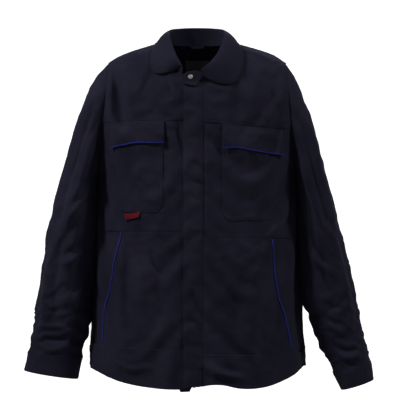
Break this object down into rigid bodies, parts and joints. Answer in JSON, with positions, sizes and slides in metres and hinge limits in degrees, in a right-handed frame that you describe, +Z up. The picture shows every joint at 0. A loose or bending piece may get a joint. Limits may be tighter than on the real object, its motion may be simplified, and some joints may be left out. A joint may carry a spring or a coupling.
{
  "type": "work jacket",
  "caption": "Navy cloth welder's work jacket with blue-piped chest flaps, slanted hand pockets, turned-down collar and a concealed front zip.",
  "frame": {"origin": "middle of the hanger loop, inside the back of the neck", "axes": "+Z up, -Y the way the jacket faces, +X the wearer's left"},
  "size_m": [0.7701, 0.2927, 0.814],
  "materials": {
    "navy_cloth": "woven cotton twill, matt with a faint sheen",
    "blue_piping": "royal blue piping cord in woven tape",
    "red_tab": "plain woven red tab",
    "zip_tape_cloth": "flat woven zip tape",
    "zip_brass": "worn brass zip",
    "nickel": "nickel-plated press stud",
    "lining_cloth": "plain woven lining",
    "label_cloth": "blank woven label",
    "hook_tape": "hook tape, fuzzy black"
  },
  "bodies": {
    "jacket": {"back_panel": "navy_cloth", "back_skirt": "navy_cloth", "back_yoke": "navy_cloth", "chest_panel_left": "navy_cloth", "chest_panel_right": "navy_cloth", "chest_pocket_left": "navy_cloth", "chest_pocket_right": "navy_cloth", "collar_leaf": "navy_cloth", "collar_stand": "navy_cloth", "collar_tab": "navy_cloth", "front_facing_left": "navy_cloth", "front_facing_right": "navy_cloth", "front_yoke_left": "navy_cloth", "front_yoke_right": "navy_cloth", "hand_pocket_bag_left": "lining_cloth", "hand_pocket_bag_right": "lining_cloth", "hand_pocket_piping_left": "blue_piping", "hand_pocket_piping_right": "blue_piping", "hanger_loop": "navy_cloth", "hem_band_back": "navy_cloth", "hem_band_left": "navy_cloth", "hem_band_right": "navy_cloth", "neck_label": "label_cloth", "pocket_tab": "red_tab", "skirt_front_left": "navy_cloth", "skirt_front_right": "navy_cloth", "skirt_side_left": "navy_cloth", "skirt_side_right": "navy_cloth", "sleeve_upper_top_left": "navy_cloth", "sleeve_upper_top_right": "navy_cloth", "sleeve_upper_under_left": "navy_cloth", "sleeve_upper_under_right": "navy_cloth", "throat_snap_cap": "nickel", "wind_flap": "lining_cloth", "zip_bottom_box": "zip_brass", "zip_chain_left": "zip_brass", "zip_chain_right": "zip_brass", "zip_tape_left": "zip_tape_cloth", "zip_tape_right": "zip_tape_cloth"},
    "flap_right": {"chest_flap_right": "navy_cloth", "flap_hook_tape_right": "hook_tape", "flap_piping_right": "blue_piping"},
    "flap_left": {"chest_flap_left": "navy_cloth", "flap_hook_tape_left": "hook_tape", "flap_piping_left": "blue_piping"},
    "placket": {"front_placket": "navy_cloth"},
    "zip_slider": {"zip_slider": "zip_brass", "zip_pull": "zip_brass"},
    "forearm_right": {"cuff_right": "navy_cloth", "sleeve_fore_top_right": "navy_cloth", "sleeve_fore_under_right": "navy_cloth"},
    "forearm_left": {"cuff_left": "navy_cloth", "sleeve_fore_top_left": "navy_cloth", "sleeve_fore_under_left": "navy_cloth"}
  },
  "joints": [
    {"name": "flap_right_lift", "type": "hinge", "parent": "jacket", "child": "flap_right", "pos_m": [-0.13283, -0.14366, -0.1664], "axis": [-0.9607, 0.2762, -0.0295], "range_deg": [0, 140]},
    {"name": "flap_left_lift", "type": "hinge", "parent": "jacket", "child": "flap_left", "pos_m": [0.12605, -0.1464, -0.17828], "axis": [-0.9615, -0.2591, 0.0917], "range_deg": [0, 140]},
    {"name": "placket_fold", "type": "hinge", "parent": "jacket", "child": "placket", "pos_m": [0.0137, -0.14513, -0.09075], "axis": [0, 0.0932, 0.9956], "range_deg": [0, 100]},
    {"name": "zip_run", "type": "slide", "parent": "jacket", "child": "zip_slider", "axis": [0, -0.0932, -0.9956], "range_m": [0, 0.62]},
    {"name": "elbow_right_bend", "type": "hinge", "parent": "jacket", "child": "forearm_right", "pos_m": [-0.27975, -0.111, -0.4], "axis": [-1, 0, 0], "range_deg": [0, 60]},
    {"name": "elbow_left_bend", "type": "hinge", "parent": "jacket", "child": "forearm_left", "pos_m": [0.27475, -0.111, -0.4], "axis": [-1, 0, 0], "range_deg": [0, 60]}
  ]
}
